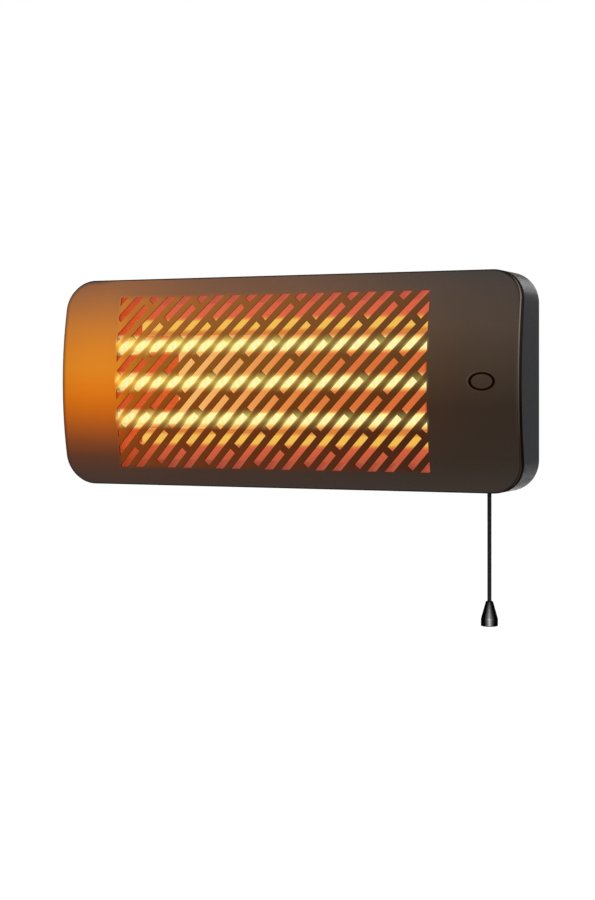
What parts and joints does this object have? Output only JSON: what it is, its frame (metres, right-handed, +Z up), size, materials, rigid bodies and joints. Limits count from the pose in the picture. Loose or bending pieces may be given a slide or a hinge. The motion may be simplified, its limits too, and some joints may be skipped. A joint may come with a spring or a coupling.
{
  "type": "quartz tube heater",
  "caption": "Wall-hung quartz tube heater: bowed slotted front, glowing tubes before a hipped reflector, and a bell-ended pull cord that works its switch.",
  "frame": {"origin": "middle of the flat back face, on the wall plane", "axes": "+X to the right seen from the front, +Y into the wall, +Z up"},
  "size_m": [0.524, 0.0755, 0.3628],
  "materials": {
    "housing_plastic": "satin dark grey moulding",
    "cover_paint": "satin dark bronze-grey paint on sheet steel",
    "seal_rubber": "matt black",
    "zinc_steel": "bright zinc",
    "polished_reflector": "polished",
    "glowing_quartz": "milky quartz, lit",
    "glowing_coil": "resistance wire at red heat",
    "cap_ceramic": "unglazed steatite",
    "contact_brass": "plain",
    "switch_plastic": "ivory thermoset",
    "cutout_body": "brown phenolic and ceramic",
    "guide_nylon": "black nylon",
    "cord_braid": "black braided cord",
    "bell_plastic": "gloss black",
    "lead_sleeve": "heat-proof sleeve",
    "earth_sleeve": "green and yellow sleeve"
  },
  "bodies": {
    "casing": {"block_screws": "zinc_steel", "bracket_screws": "zinc_steel", "cable_clamp": "switch_plastic", "case_screws": "zinc_steel", "ceramic_caps_left": "cap_ceramic", "ceramic_caps_right": "cap_ceramic", "clamp_screws": "zinc_steel", "cord_bush": "guide_nylon", "cover_weld_nuts": "zinc_steel", "cutout_rivets": "zinc_steel", "earth_lead": "earth_sleeve", "earth_nut": "zinc_steel", "earth_stud": "zinc_steel", "earth_tag": "contact_brass", "front_cover": "cover_paint", "heating_coil_bottom": "glowing_coil", "heating_coil_middle": "glowing_coil", "heating_coil_top": "glowing_coil", "inlet_grommet": "seal_rubber", "neutral_bar": "contact_brass", "oval_badge": "cover_paint", "quartz_tube_bottom": "glowing_quartz", "quartz_tube_middle": "glowing_quartz", "quartz_tube_top": "glowing_quartz", "rear_housing": "housing_plastic", "reflector": "polished_reflector", "return_lead": "lead_sleeve", "return_spring": "zinc_steel", "seam_gasket": "seal_rubber", "supply_leads": "lead_sleeve", "switch_case": "switch_plastic", "switch_lid": "switch_plastic", "switch_screws": "zinc_steel", "switch_shaft": "zinc_steel", "switch_tabs": "contact_brass", "terminal_block": "switch_plastic", "terminal_screws": "zinc_steel", "thermal_cutout": "cutout_body", "tube_bracket_left": "zinc_steel", "tube_bracket_right": "zinc_steel", "tube_leads": "lead_sleeve", "tube_tabs_left": "contact_brass", "tube_tabs_right": "contact_brass"},
    "cord_slider": {"pull_cord_upper": "cord_braid"},
    "cord_pendant": {"pull_cord": "cord_braid", "cord_bell": "bell_plastic"},
    "lever": {"switch_lever": "switch_plastic"},
    "rotor": {"switch_rotor": "switch_plastic"}
  },
  "joints": [
    {"name": "cord_pull", "type": "slide", "parent": "casing", "child": "cord_slider", "axis": [0, 0, -1], "range_m": [0, 0.00911], "stiffness_N_per_m": 150, "springref_m": -0.012, "deforming": ["return_spring"]},
    {"name": "cord_swing", "type": "hinge", "parent": "cord_slider", "child": "cord_pendant", "pos_m": [0.2145, -0.02, -0.115], "axis": [0, 1, 0], "range_deg": [-35, 35]},
    {"name": "lever_turn", "type": "hinge", "parent": "casing", "child": "lever", "pos_m": [0.1975, -0.02, -0.08], "axis": [0, 1, 0], "range_deg": [0, 30]},
    {"name": "rotor_turn", "type": "hinge", "parent": "casing", "child": "rotor", "pos_m": [0.1975, -0.0115, -0.08], "axis": [0, 1, 0], "range_deg": [0, 30]}
  ],
  "couplings": [
    {"joint": "lever_turn", "follows": "cord_pull", "rad_per_m": 57.46},
    {"joint": "rotor_turn", "follows": "cord_pull", "rad_per_m": 57.46}
  ]
}
